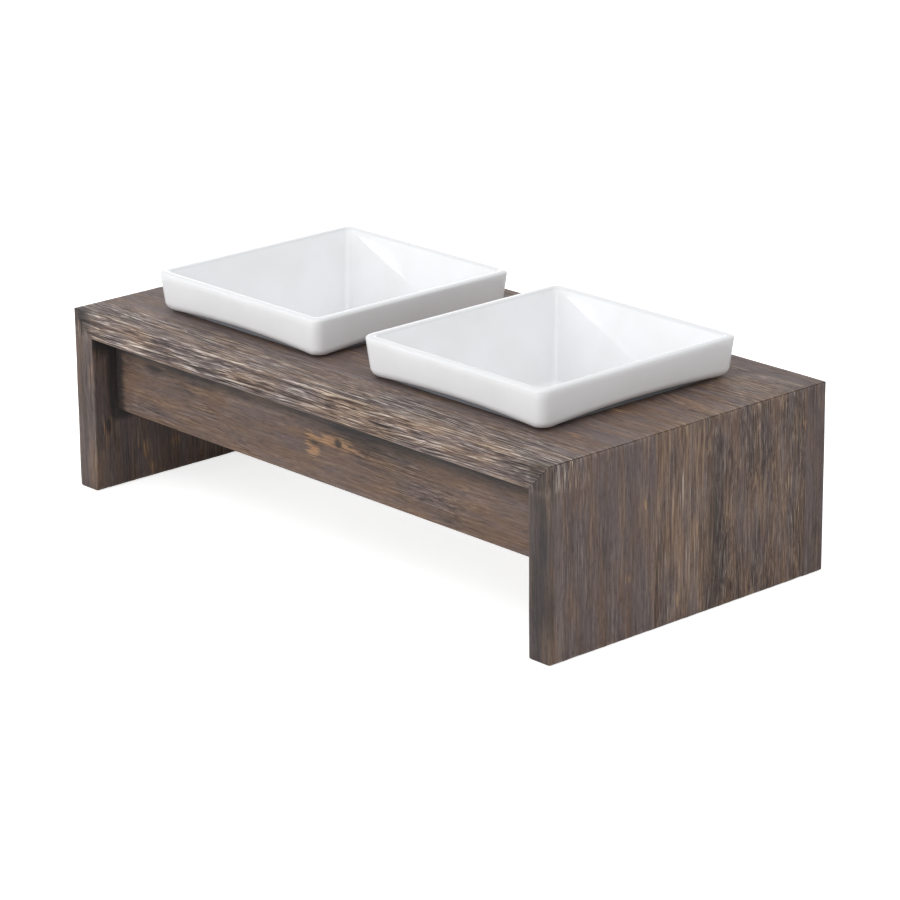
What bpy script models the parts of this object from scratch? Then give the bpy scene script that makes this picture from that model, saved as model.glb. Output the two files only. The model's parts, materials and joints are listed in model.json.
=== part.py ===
"""Double pet feeder: a mitred bench of edge-glued hardwood staves, with two porcelain bowls let into its top.

X runs along the bench, Y from its front to its back and Z up. The floor is Z = 0 and the bench is centred on
the origin. All sizes are in metres. Each bowl's origin is on its lift axis, at the height of the wood.
"""

import math
from itertools import accumulate

import bmesh
import bpy
from mathutils import Matrix, Vector

# Bench
LENGTH = 0.560
DEPTH = 0.292
HEIGHT = 0.153
BOARD = 0.023  # thickness of the top and of both legs
FRONT_STAVES = (0.014, 0.093)  # stave widths, from the front edge inwards
REAR_STAVES = (0.0225, 0.1105)  # from the rear edge inwards. One stave takes up what is left.
ARRIS = 0.0015  # radius that the outer edges are eased to
RAIL_HEIGHT = 0.064
RAIL_THICKNESS = 0.020
RAIL_SETBACK = 0.024  # how far a rail's face stands back from the edge of the top

# Dowels
DOWEL_DIAMETER = 0.008
DOWEL_CHAMFER = 0.0008
DOWEL_END_ROOM = 0.001  # space left for glue past each end
MITRE_DOWEL_LENGTH = 0.022
MITRE_DOWEL_DEPTH = 0.020  # from the outer corner, down the mitre
MITRE_DOWELS = (0, 2, 1, 2, 0)  # how many cross each mitre in each stave, from the front
RAIL_DOWEL_LENGTH = 0.030
RAIL_DOWEL_IN_LEG = 0.013
RAIL_DOWEL_PITCH = 0.032

# Bowls. An inset is measured in from the outside of the rim, all round.
BOWL_SPACING = 0.252  # centre to centre
BOWL_SETBACK = 0.002  # from the middle of the bench towards its back
BOWL_WIDTH = 0.200  # along the bench, over the rim
BOWL_BREADTH = 0.208  # across the bench
BOWL_CORNER = 0.009
RIM_RISE = 0.0335  # from the wood to the top of the rim
RIM_WIDTH = 0.0078
RIM_ROUND = 0.0024
INSIDE_DEPTH = 0.069
INSIDE_CORNER = 0.0055
FLOOR_INSET = 0.034  # where the inner walls would meet the floor
FLOOR_FILLET = 0.007
SKIRT_DRAFT = 0.0022  # how far the outer wall leans in towards its foot
SKIRT_ROUND = 0.008
SKIRT_LIFT = 0.0006  # from the wood to the underside, at the corners
SKIRT_ARCH = 0.0032  # how much higher the underside is half way along a side
SEAT_INSET = 0.0105  # the ledge that rests on the wood
SEAT_CORNER = 0.014
CUTOUT_INSET = 0.0140
CUTOUT_CORNER = 0.012
WELL_CLEARANCE = 0.0015
WELL_DRAFT = 0.0125
WELL_ROUND = 0.006
FLOOR_THICKNESS = 0.006
FOOT_RING_HEIGHT = 0.002
FOOT_RING_WIDTH = 0.006
FOOT_RING_INSET = 0.003  # from the flat of the base

# Fits and fineness
GAP = 0.0003  # between pieces that touch
CUT_MARGIN = 0.005  # how far a cutter runs past the face that it cuts
CORNER_STEPS = 5
SIDE_STEPS = 6
ARC_STEPS = 4
ARRIS_STEPS = 2
DOWEL_SIDES = 12
SMOOTH_ANGLE = math.radians(35)

STAINED_WOOD = ("stained_hardwood", (0.140, 0.103, 0.089, 1), 0.60)
BEECH = ("beech_dowel", (0.52, 0.35, 0.20, 1), 0.7)
PORCELAIN = ("white_porcelain", (0.87, 0.87, 0.87, 1), 0.08)


def clear_scene():
    for obj in list(bpy.data.objects):
        bpy.data.objects.remove(obj, do_unlink=True)


def finish(name, colour, roughness):
    material = bpy.data.materials.new(name)
    material.use_nodes = True
    shader = material.node_tree.nodes["Principled BSDF"]
    shader.inputs["Base Color"].default_value = colour
    shader.inputs["Roughness"].default_value = roughness
    shader.inputs["Metallic"].default_value = 0.0
    return material


def make_object(name, bm, material, origin=Vector()):
    """Turns a bmesh into an object with its origin at a point. Without a material it is a cutter."""
    bmesh.ops.recalc_face_normals(bm, faces=bm.faces)
    bmesh.ops.translate(bm, vec=-origin, verts=bm.verts)
    mesh = bpy.data.meshes.new(name)
    bm.to_mesh(mesh)
    bm.free()
    mesh.shade_smooth()
    mesh.set_sharp_from_angle(angle=SMOOTH_ANGLE)
    obj = bpy.data.objects.new(name, mesh)
    obj.location = origin
    bpy.context.scene.collection.objects.link(obj)
    if material:
        mesh.materials.append(material)
    else:
        obj.hide_render = True
        obj.display_type = "WIRE"
    return obj


def cut(piece, cutter):
    boolean = piece.modifiers.new(cutter.name, "BOOLEAN")
    boolean.operation = "DIFFERENCE"
    boolean.object = cutter


def world_box(obj):
    bpy.context.view_layer.update()
    points = [obj.matrix_world @ vertex.co for vertex in obj.data.vertices]
    return [(min(values), max(values)) for values in zip(*points)]


def cut_where_met(pieces, cutters):
    """Cuts each piece with every cutter whose box meets its own."""
    boxes = {obj: world_box(obj) for obj in pieces + cutters}
    for piece in pieces:
        for cutter in cutters:
            sides = zip(boxes[piece], boxes[cutter])
            if all(max(one[0], other[0]) < min(one[1], other[1]) for one, other in sides):
                cut(piece, cutter)


# Boards


def saw(bm, point, normal):
    """Cuts the mesh off beyond a plane and closes the cut."""
    everything = bm.verts[:] + bm.edges[:] + bm.faces[:]
    result = bmesh.ops.bisect_plane(bm, geom=everything, plane_co=point, plane_no=normal, clear_outer=True)
    rim = [item for item in result["geom_cut"] if isinstance(item, bmesh.types.BMEdge)]
    bmesh.ops.edgeloop_fill(bm, edges=rim)


def board(low, high, eased):
    """A box with some edges eased. An edge is named by the sides that it lies on, such as (1, 0, 1)."""
    low, high = Vector(low), Vector(high)
    bm = bmesh.new()
    bmesh.ops.create_cube(bm, size=1)
    bmesh.ops.scale(bm, vec=high - low, verts=bm.verts)
    bmesh.ops.translate(bm, vec=(low + high) / 2, verts=bm.verts)
    chosen = []
    for edge in bm.edges:
        middle = (edge.verts[0].co + edge.verts[1].co - low - high) / 2
        side = tuple(round(2 * middle[axis] / (high[axis] - low[axis])) for axis in range(3))
        if side in eased:
            chosen.append(edge)
    bmesh.ops.bevel(bm, geom=chosen, offset=ARRIS, segments=ARRIS_STEPS, profile=0.5, affect="EDGES")
    return bm


def stave_spans():
    """The front and back Y of each stave: a glue line stands half a gap from the staves on its two sides."""
    lines = [width - DEPTH / 2 for width in accumulate(FRONT_STAVES)]
    lines += [DEPTH / 2 - width for width in accumulate(REAR_STAVES)]
    lines.sort()
    fronts = [-DEPTH / 2] + [line + GAP / 2 for line in lines]
    backs = [line - GAP / 2 for line in lines] + [DEPTH / 2]
    return list(zip(fronts, backs))


def outer_sides(front, back):
    """Which of a stave's two edges is the bench's own front or back edge."""
    sides = []
    if front <= -DEPTH / 2:
        sides.append(-1)
    if back >= DEPTH / 2:
        sides.append(1)
    return sides


def mitre_plane(side, keep_leg):
    """The saw plane through the corner of the bench at that side. Its normal points at the waste."""
    normal = Vector((-side, 0, 1)) if keep_leg else Vector((side, 0, -1))
    normal.normalize()
    corner = Vector((side * LENGTH / 2, 0, HEIGHT))
    return corner - normal * GAP / 2, normal


def top_stave(name, span, ends, material):
    """One stave of the top. An end of -1 or 1 is mitred to that leg, and any other is an X to end at."""
    eased = [(0, side, level) for side in outer_sides(*span) for level in (-1, 1)]
    mitred = [end for end in ends if abs(end) == 1]
    eased += [(end, 0, 1) for end in mitred]
    xs = [end * LENGTH / 2 if end in mitred else end for end in ends]
    bm = board((xs[0], span[0], HEIGHT - BOARD), (xs[1], span[1], HEIGHT), eased)
    for end in mitred:
        saw(bm, *mitre_plane(end, keep_leg=False))
    return make_object(name, bm, material)


def top_staves(material):
    """The staves of the top. One that the openings cross from edge to edge is left as three pieces."""
    pieces = []
    middle = BOWL_SPACING / 2
    reach = BOWL_BREADTH / 2 - CUTOUT_INSET
    opening = (BOWL_SETBACK - reach, BOWL_SETBACK + reach)
    parts = {"left": (-1, -middle), "middle": (-middle, middle), "right": (middle, 1)}
    for number, span in enumerate(stave_spans(), start=1):
        name = f"top_stave_{number}"
        if opening[0] < span[0] and span[1] < opening[1]:
            pieces += [top_stave(f"{name}_{part}", span, ends, material) for part, ends in parts.items()]
        else:
            pieces.append(top_stave(name, span, (-1, 1), material))
    return pieces


def leg_staves(side, side_name, material):
    pieces = []
    inner, outer = side * (LENGTH / 2 - BOARD), side * LENGTH / 2
    for number, span in enumerate(stave_spans(), start=1):
        eased = [(side, 0, 1), (side, 0, -1), (-side, 0, -1)]
        for edge in outer_sides(*span):
            eased += [(side, edge, 0), (-side, edge, 0), (0, edge, -1)]
        low, high = (min(inner, outer), span[0], 0), (max(inner, outer), span[1], HEIGHT)
        bm = board(low, high, eased)
        saw(bm, *mitre_plane(side, keep_leg=True))
        pieces.append(make_object(f"{side_name}_leg_stave_{number}", bm, material))
    return pieces


def rail_middle(side):
    """The Y of the middle of the front (-1) or rear (1) rail."""
    return side * (DEPTH / 2 - RAIL_SETBACK - RAIL_THICKNESS / 2)


def rail_top():
    return HEIGHT - BOARD - GAP


def rail(side, name, material):
    """A board on edge between the legs, under the top."""
    half = LENGTH / 2 - BOARD - GAP
    y = rail_middle(side)
    low = (-half, y - RAIL_THICKNESS / 2, rail_top() - RAIL_HEIGHT)
    high = (half, y + RAIL_THICKNESS / 2, rail_top())
    return make_object(name, board(low, high, [(0, -1, -1), (0, 1, -1)]), material)


# Dowels


def rod(diameter, length, chamfer, centre, axis):
    """A round rod about its centre, along an axis."""
    bm = bmesh.new()
    bmesh.ops.create_cone(
        bm, cap_ends=True, segments=DOWEL_SIDES, radius1=diameter / 2, radius2=diameter / 2, depth=length
    )
    if chamfer:
        rims = [edge for edge in bm.edges if edge.verts[0].co.z * edge.verts[1].co.z > 0]
        bmesh.ops.bevel(bm, geom=rims, offset=chamfer, segments=1, profile=0.5, affect="EDGES")
    turn = Vector((0, 0, 1)).rotation_difference(axis).to_matrix().to_4x4()
    bmesh.ops.transform(bm, matrix=Matrix.Translation(centre) @ turn, verts=bm.verts)
    return bm


def dowel_and_hole(name, length, centre, axis, material):
    """A dowel, and the cutter of the hole that it is glued into."""
    dowel = make_object(name, rod(DOWEL_DIAMETER, length, DOWEL_CHAMFER, centre, axis), material)
    bore = rod(DOWEL_DIAMETER + 2 * GAP, length + 2 * DOWEL_END_ROOM, 0, centre, axis)
    return dowel, make_object(f"{name}_hole", bore, None)


def mitre_dowel_places():
    """The Y of each dowel in a mitre, spread evenly over the staves that are wide enough for them."""
    places = []
    for (front, back), count in zip(stave_spans(), MITRE_DOWELS):
        places += [front + (back - front) * (number + 0.5) / count for number in range(count)]
    return places


def mitre_dowels(side, side_name, material):
    """Dowels square across the mitre, nearer to its inner corner, where the wood is deepest."""
    _, axis = mitre_plane(side, keep_leg=False)
    drop = MITRE_DOWEL_DEPTH / math.sqrt(2)
    holes = []
    for number, y in enumerate(mitre_dowel_places(), start=1):
        centre = Vector((side * (LENGTH / 2 - drop), y, HEIGHT - drop))
        name = f"mitre_dowel_{side_name}_{number}"
        holes.append(dowel_and_hole(name, MITRE_DOWEL_LENGTH, centre, axis, material)[1])
    return holes


def rail_dowels(rail_side, rail_name, material):
    """Two dowels at each end of a rail, one above the other, reaching into the legs."""
    holes = []
    for side, side_name in ((-1, "left"), (1, "right")):
        x = side * (LENGTH / 2 - BOARD + RAIL_DOWEL_IN_LEG - RAIL_DOWEL_LENGTH / 2)
        for step, level in ((-0.5, "lower"), (0.5, "upper")):
            z = rail_top() - RAIL_HEIGHT / 2 + step * RAIL_DOWEL_PITCH
            centre = Vector((x, rail_middle(rail_side), z))
            name = f"{rail_name}_dowel_{side_name}_{level}"
            holes.append(dowel_and_hole(name, RAIL_DOWEL_LENGTH, centre, Vector((1, 0, 0)), material)[1])
    return holes


# Bowls and their openings


def outline(inset, corner, z, arch=0.0):
    """The rim's outline, drawn in by an inset. An arch lifts the middle of each side above z."""
    straights = (BOWL_WIDTH / 2 - inset - corner, BOWL_BREADTH / 2 - inset - corner)
    points = []
    for turn in range(4):
        quarter = Matrix.Rotation(turn * math.pi / 2, 3, "Z")
        reach, straight = straights[turn % 2], straights[1 - turn % 2]
        for step in range(SIDE_STEPS):
            along = 2 * step / SIDE_STEPS - 1
            points.append(quarter @ Vector((reach + corner, along * straight, z + arch * (1 - along**2))))
        for step in range(CORNER_STEPS):
            angle = step / CORNER_STEPS * math.pi / 2
            out = Vector((math.cos(angle), math.sin(angle), 0)) * corner
            points.append(quarter @ (Vector((reach, straight, z)) + out))
    return points


def loft(rings):
    """A closed body through rings of equal length, with a flat face across the first and the last."""
    bm = bmesh.new()
    loops = [[bm.verts.new(point) for point in ring] for ring in rings]
    for near, far in zip(loops, loops[1:]):
        for index in range(len(near)):
            before = index - 1
            bm.faces.new((near[before], near[index], far[index], far[before]))
    bm.faces.new(loops[0])
    bm.faces.new(loops[-1])
    return bm


def arc(centre_inset, centre_z, radius, start, end):
    """(inset, height) pairs along an arc of a profile, from one angle to another. Angle 0 points outwards."""
    angles = [math.radians(start + (end - start) * step / ARC_STEPS) for step in range(ARC_STEPS + 1)]
    return [(centre_inset - radius * math.cos(a), centre_z + radius * math.sin(a)) for a in angles]


def inside_profile():
    """From the floor up the sloping wall and over the inner edge of the rim."""
    floor_z = RIM_RISE - INSIDE_DEPTH
    lean = math.degrees(math.atan2(FLOOR_INSET - RIM_WIDTH, INSIDE_DEPTH))
    tangent = FLOOR_FILLET * math.tan(math.radians(90 - lean) / 2)
    fillet = arc(FLOOR_INSET + tangent, floor_z + FLOOR_FILLET, FLOOR_FILLET, -90, -lean)
    return fillet + arc(RIM_WIDTH - RIM_ROUND, RIM_RISE - RIM_ROUND, RIM_ROUND, 180, 90)


def skirt_profile():
    """Over the outer edge of the rim, then the rounded lower edge, where the wall turns under."""
    rim = arc(RIM_ROUND, RIM_RISE - RIM_ROUND, RIM_ROUND, 90, 0)
    edge = arc(SKIRT_DRAFT + SKIRT_ROUND, SKIRT_LIFT + SKIRT_ROUND, SKIRT_ROUND, 0, -90)
    return rim, edge


def well_profile():
    """From the wood down the well and round its lower edge, then over the foot ring."""
    mouth = CUTOUT_INSET + WELL_CLEARANCE
    base_z = RIM_RISE - INSIDE_DEPTH - FLOOR_THICKNESS
    edge = arc(mouth + WELL_DRAFT + WELL_ROUND, base_z + WELL_ROUND, WELL_ROUND, 0, -90)
    outer = mouth + WELL_DRAFT + WELL_ROUND + FOOT_RING_INSET
    inner = outer + FOOT_RING_WIDTH
    lowest = base_z - FOOT_RING_HEIGHT
    return [(mouth, GAP)] + edge + [(outer, base_z), (outer, lowest), (inner, lowest), (inner, base_z)]


def bowl(name, x, material):
    """One bowl, lofted in a single skin: inside, rim, skirt, seat, well and foot ring."""
    rim, edge = skirt_profile()
    rings = [outline(inset, INSIDE_CORNER, z) for inset, z in inside_profile()]
    rings += [outline(inset, BOWL_CORNER, z) for inset, z in rim]
    rings += [outline(inset, BOWL_CORNER, z, SKIRT_ARCH) for inset, z in edge]
    rings += [outline(SEAT_INSET, SEAT_CORNER, SKIRT_LIFT, SKIRT_ARCH), outline(SEAT_INSET, SEAT_CORNER, GAP)]
    rings += [outline(inset, CUTOUT_CORNER, z) for inset, z in well_profile()]
    bm = loft(rings)
    place = Vector((x, BOWL_SETBACK, HEIGHT))
    bmesh.ops.translate(bm, vec=place, verts=bm.verts)
    return make_object(name, bm, material, origin=place)


def cutout(name, x):
    """The cutter of one opening in the top."""
    levels = (HEIGHT - BOARD - CUT_MARGIN, HEIGHT + CUT_MARGIN)
    bm = loft([outline(CUTOUT_INSET, CUTOUT_CORNER, z) for z in levels])
    bmesh.ops.translate(bm, vec=(x, BOWL_SETBACK, 0), verts=bm.verts)
    return make_object(name, bm, None)


def build():
    clear_scene()
    wood, beech, porcelain = finish(*STAINED_WOOD), finish(*BEECH), finish(*PORCELAIN)
    boards = top_staves(wood)
    cutters = []
    for side, side_name in ((-1, "left"), (1, "right")):
        boards += leg_staves(side, side_name, wood)
        cutters += mitre_dowels(side, side_name, beech)
        cutters.append(cutout(f"{side_name}_opening", side * BOWL_SPACING / 2))
        bowl(f"bowl_{side_name}", side * BOWL_SPACING / 2, porcelain)
    for side, rail_name in ((-1, "front_rail"), (1, "rear_rail")):
        boards.append(rail(side, rail_name, wood))
        cutters += rail_dowels(side, rail_name, beech)
    cut_where_met(boards, cutters)


build()
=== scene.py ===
# %% [markdown]
# # A double pet feeder, dressed
# The object is a low bench of dark, wire-brushed hardwood with two square porcelain bowls let into its top.
# The CAD model gives every board and bowl its place and its size. This script gives them their looks. It
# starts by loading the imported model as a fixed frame, and notes the box that the frame fills.

# %% Load the frame
import json
import math

import bmesh
import bpy
from mathutils import Matrix, Quaternion, Vector, noise

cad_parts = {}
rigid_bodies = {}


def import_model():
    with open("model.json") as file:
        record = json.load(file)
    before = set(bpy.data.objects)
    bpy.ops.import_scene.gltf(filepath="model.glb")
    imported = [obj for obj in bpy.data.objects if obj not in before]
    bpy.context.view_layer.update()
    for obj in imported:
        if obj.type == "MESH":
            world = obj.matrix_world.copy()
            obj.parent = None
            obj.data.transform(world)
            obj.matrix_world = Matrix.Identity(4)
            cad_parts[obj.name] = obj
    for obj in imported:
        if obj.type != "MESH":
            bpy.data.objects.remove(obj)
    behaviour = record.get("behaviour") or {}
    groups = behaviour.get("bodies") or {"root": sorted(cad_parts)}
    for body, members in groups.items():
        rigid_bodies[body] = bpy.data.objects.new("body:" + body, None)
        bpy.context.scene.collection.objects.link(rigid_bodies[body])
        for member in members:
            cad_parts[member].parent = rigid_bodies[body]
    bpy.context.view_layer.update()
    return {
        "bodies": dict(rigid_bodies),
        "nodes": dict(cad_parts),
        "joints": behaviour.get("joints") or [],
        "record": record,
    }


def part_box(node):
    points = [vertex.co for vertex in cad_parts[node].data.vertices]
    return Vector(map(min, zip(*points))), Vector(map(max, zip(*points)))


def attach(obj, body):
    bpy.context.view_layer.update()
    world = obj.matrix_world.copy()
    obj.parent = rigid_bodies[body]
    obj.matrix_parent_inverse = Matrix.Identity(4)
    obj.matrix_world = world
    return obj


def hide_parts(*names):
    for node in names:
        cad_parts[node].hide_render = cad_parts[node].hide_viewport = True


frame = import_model()
nodes = frame["nodes"]

# %% [markdown]
# ## Reading sizes off the frame
# Nothing is measured twice. The faces of the bench are read from the boxes of a few nodes, so each new
# board is cut to the same lines as the solid that it stands for. Depths in the wood are counted from the
# outer face, which is the top of the top and the outside of a leg, because one board runs over the corner
# from one to the other.

# %% Sizes of the bench
HALF_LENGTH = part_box("right_leg_stave_2")[1].x
WOOD_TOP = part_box("top_stave_2")[1].z
BOARD = WOOD_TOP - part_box("top_stave_2")[0].z
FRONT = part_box("top_stave_1")[0].y
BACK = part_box("top_stave_5")[1].y
RAIL_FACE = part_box("front_rail")[0].y
MM = 0.001
size = [round(v / MM) for v in (2 * HALF_LENGTH, BACK - FRONT, WOOD_TOP)]
print("bench", size, "mm, boards", round(BOARD / MM), "mm")

# %% [markdown]
# ## Meshes and objects
# Boards, bowls and floor are drawn as a bmesh, Blender's mesh for editing. Three steps come again and
# again: a cube is stretched into a block, a bmesh becomes a mesh, and a mesh becomes an object.


# %% Three steps in common
def add_block(bm, low, high):
    """A cube of the bmesh, stretched between two corners."""
    block = bmesh.ops.create_cube(bm, size=1)["verts"]
    bmesh.ops.scale(bm, vec=high - low, verts=block)
    bmesh.ops.translate(bm, vec=(low + high) / 2, verts=block)
    return block


def mesh_from(bm, name):
    """The bmesh as a mesh of that name. The bmesh itself is freed."""
    mesh = bpy.data.meshes.new(name)
    bm.to_mesh(mesh)
    bm.free()
    return mesh


def add_object(name, data):
    """A new object of the scene."""
    added = bpy.data.objects.new(name, data)
    bpy.context.scene.collection.objects.link(added)
    return added


# %% [markdown]
# ## The camera
# The photograph was taken from the right front corner, a little above the bench, with a long lens that
# keeps the far end nearly as large as the near one and the uprights nearly parallel. The camera is placed
# by an azimuth, an elevation and a distance, and then slid a little sideways and upwards, which frames the
# object as the photograph does without turning the camera.

# %% Place the camera
AZIMUTH, ELEVATION, ROLL = math.radians(47.743), math.radians(18.513), math.radians(-0.533)
DISTANCE, SLIDE_RIGHT, SLIDE_UP = 2.9875, 0.0090, 0.0607
LENS_MM, SENSOR_MM = 149.38, 36.0

back = Vector((
    math.sin(AZIMUTH) * math.cos(ELEVATION), -math.cos(AZIMUTH) * math.cos(ELEVATION), math.sin(ELEVATION)
))
level = Vector((math.cos(AZIMUTH), math.sin(AZIMUTH), 0))
right = Matrix.Rotation(ROLL, 3, back) @ level
up = back.cross(right)
camera = add_object("camera", bpy.data.cameras.new("camera"))
camera.data.lens, camera.data.sensor_width = LENS_MM, SENSOR_MM
turn = Matrix((right, up, back)).transposed().to_4x4()
camera.matrix_world = Matrix.Translation(back * DISTANCE + right * SLIDE_RIGHT + up * SLIDE_UP) @ turn
bpy.context.scene.camera = camera
print("camera at", [round(v, 3) for v in camera.matrix_world.translation])

# %% [markdown]
# ## Colours and nodes
# Colours are picked as they look on a screen, in sRGB, but shaders work in linear light, so one function
# converts them. Another adds a node with its settings and links in one line, so each material reads as a
# list of what it is made of. A socket takes a value, a socket to link from, or a node, which stands for its
# first output.


# %% Helpers for materials
def linear(hex_colour):
    """An sRGB hex colour as the linear RGBA that a shader wants."""
    values = [int(hex_colour[i:i + 2], 16) / 255 for i in (1, 3, 5)]
    return (*(v / 12.92 if v <= 0.04045 else ((v + 0.055) / 1.055) ** 2.4 for v in values), 1.0)


def fill(tree, node, *inputs, **named):
    """Fills a node's sockets: the inputs in order, and the named ones by name, with _ for a space."""
    by_name = [(node.inputs[name.replace("_", " ")], value) for name, value in named.items()]
    in_order = [socket for socket in node.inputs if socket.enabled]
    for socket, value in by_name + list(zip(in_order, inputs)):
        if isinstance(value, bpy.types.Node):
            value = next(output for output in value.outputs if output.enabled)
        if isinstance(value, bpy.types.NodeSocket):
            tree.links.new(value, socket)
        else:
            socket.default_value = value


def add_node(tree, kind, *inputs, stops=(), **settings):
    """Adds a shader node and fills it.

    The inputs go to its sockets in order. A setting goes to the property or the socket of that name, and
    the stops are the (position, hex colour) pairs of a colour ramp.
    """
    node = tree.nodes.new("ShaderNode" + kind)
    properties = {name: value for name, value in settings.items() if hasattr(node, name)}
    for name, value in properties.items():
        setattr(node, name, value)
    fill(tree, node, *inputs, **{name: settings[name] for name in settings if name not in properties})
    if stops:
        elements = node.color_ramp.elements
        while len(elements) < len(stops):
            elements.new(0.5)
        for element, (position, colour) in zip(elements, stops):
            element.position, element.color = position, linear(colour)
    return node


def new_material(name):
    """A material, its node tree and its shader."""
    material = bpy.data.materials.new(name)
    material.use_nodes = True
    return material, material.node_tree, material.node_tree.nodes["Principled BSDF"]


print("mid grey", linear("#808080")[:3])

# %% [markdown]
# ## Boards: the plan
# Each stave is a sawn board whose arrises, its long corners, are eased. The wood has then been brushed with
# wire, which digs out the soft early wood and leaves the hard late wood standing as ridges along the grain.
# A bump map alone would leave the arrises ruler-straight, so the ridges are also put into the mesh: a board
# starts as a cube, its outer edges are bevelled, its ends are sawn at the mitre, and it is then cut into a
# fine grid whose points can sink by a fraction of a millimetre.
#
# Which edges are eased is written as the signs of the two faces that meet there: (0, -1, 1) is the edge
# between the front face and the top face.

# %% Saw out a plain board
ARRIS = 1.5 * MM
GLUE_LINE = 0.1 * MM
MITRE_LINE = 0.06 * MM


def plain_board(low, high, eased):
    """A box between two corners, with the named edges rounded."""
    low, high = Vector(low), Vector(high)
    bm = bmesh.new()
    add_block(bm, low, high)
    chosen = []
    for edge in bm.edges:
        offset = (edge.verts[0].co + edge.verts[1].co - low - high) / 2
        if tuple(round(2 * offset[i] / (high[i] - low[i])) for i in range(3)) in eased:
            chosen.append(edge)
    bmesh.ops.bevel(bm, geom=chosen, offset=ARRIS, segments=3, profile=0.5, affect="EDGES", material=-1)
    return bm


def saw_mitre(bm, side, keep_leg):
    """Saws a board at 45 degrees through the outer corner of the bench, on the side with that sign."""
    waste = Vector((-side, 0, 1)) if keep_leg else Vector((side, 0, -1))
    waste.normalize()
    corner = Vector((side * HALF_LENGTH, 0, WOOD_TOP)) - waste * MITRE_LINE / 2
    geometry = bm.verts[:] + bm.edges[:] + bm.faces[:]
    cut = bmesh.ops.bisect_plane(bm, geom=geometry, plane_co=corner, plane_no=waste, clear_outer=True)
    sawn_edges = [item for item in cut["geom_cut"] if isinstance(item, bmesh.types.BMEdge)]
    bmesh.ops.edgeloop_fill(bm, edges=sawn_edges)


print(f"arrises of {1000 * ARRIS:.1f} mm")

# %% [markdown]
# ## Boards: the grid
# `subdivide_edges` cuts every edge that runs one way into the same number of parts and joins the cuts
# across the faces. Done once along each axis, it turns the board into a grid. The mesh is finest in the
# front stave, because its arris is the edge that the camera sees best.

# %% Cut a board into a grid
# pitches along x, y and z
FINE_TOP, PLAIN_TOP = (3 * MM, 0.9 * MM, 1.2 * MM), (3 * MM, 1.8 * MM, 4 * MM)
FINE_LEG, PLAIN_LEG = (1.5 * MM, 1.2 * MM, 3 * MM), (4 * MM, 2.4 * MM, 3 * MM)
PLAIN_RAIL = (2.8 * MM, 4 * MM, 1.8 * MM)


def cut_along(bm, axis, pitch, length):
    """Cuts every edge that lies along an axis into parts of about the pitch, judged by the board's length."""
    along = [edge for edge in bm.edges if abs((edge.verts[1].co - edge.verts[0].co)[axis]) > 0.5 * length]
    cuts = max(0, round(length / pitch) - 1)
    if cuts and along:
        bmesh.ops.subdivide_edges(bm, edges=along, cuts=cuts, use_grid_fill=True)


def grid_board(bm, grain_axis, size, pitches):
    """Turns a board into a grid, along the grain last so that the end faces stay simple."""
    for axis in sorted(range(3), key=lambda a: a == grain_axis):
        cut_along(bm, axis, pitches[axis], size[axis])


print("finest pitch:", min(FINE_TOP + FINE_LEG) / MM, "mm")

# %% [markdown]
# ## Boards: where the wood lies in the tree
# Real wood is one solid pattern: the same growth rings come out as long lines on a face and as arcs on the
# end grain. So each point of a board carries its place in the log, in metres along the grain, across from
# the pith and in depth from it, and the material reads this from an attribute called `grain`. A top stave
# and the leg staves below it come from one board, so their distance along the grain runs on over the
# corner.
#
# Every stave has its own place in its log. The fourth lies near the pith, so its rings come out as arches,
# and the others are cut further out and are straight-grained. Each has its own tone and warmth too, and its
# own share of figure, which is how much of the grain the stain lets through.

# %% The staves' own characters
# stave number: (pith across, pith depth, slope of the pith, wander of the grain in mm, tone, warmth, figure)
STAVES = {
    1: (-0.250, 0.030, 0.02, 2, 0.2, -0.2, 0.20),
    2: (-0.160, 0.050, 0.03, 2, 0.0, -0.5, 0.20),
    3: (-0.180, 0.020, 0.01, 1, 0.3, 0.4, 0.60),
    4: (0.045, 0.040, -0.06, 3, 0.1, 0.2, 0.62),
    5: (0.250, 0.030, 0.02, 2, -0.6, -0.6, 0.35),
}
RAILS = {
    "front_rail": (0.20, 0.045, 0.03, 3, -0.2, 0.6, 0.30),
    "rear_rail": (0.16, 0.050, -0.03, 3, -0.2, 0.6, 0.30),
}
RAIL_PLACE = 1.3  # the rails' middle, in metres along their log


def smooth(value, low, high):
    """0 below low, 1 above high, and an even S between them."""
    t = min(1.0, max(0.0, (value - low) / (high - low)))
    return t * t * (3 - 2 * t)


def in_top(point, character):
    """A point of a top stave, as its place in the log."""
    across, deep, slope = character[:3]
    depth = WOOD_TOP - point.z
    return Vector((point.x, point.y - across, depth + deep + slope * point.x))


def in_leg(point, character):
    """A point of a leg stave, in the log of the top stave above it."""
    across, deep, slope = character[:3]
    side = math.copysign(1, point.x)
    along = side * (HALF_LENGTH + WOOD_TOP - point.z)
    return Vector((along, point.y - across, HALF_LENGTH - abs(point.x) + deep + slope * along))


def in_rail(point, character):
    """A point of a rail, in the rail's own log."""
    across, deep, slope = character[:3]
    depth = point.y - RAIL_FACE if point.y < 0 else -RAIL_FACE - point.y
    return Vector((point.x + RAIL_PLACE, point.z - across, depth + deep + slope * point.x))


print("staves:", len(STAVES), "rails:", len(RAILS))
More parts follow.
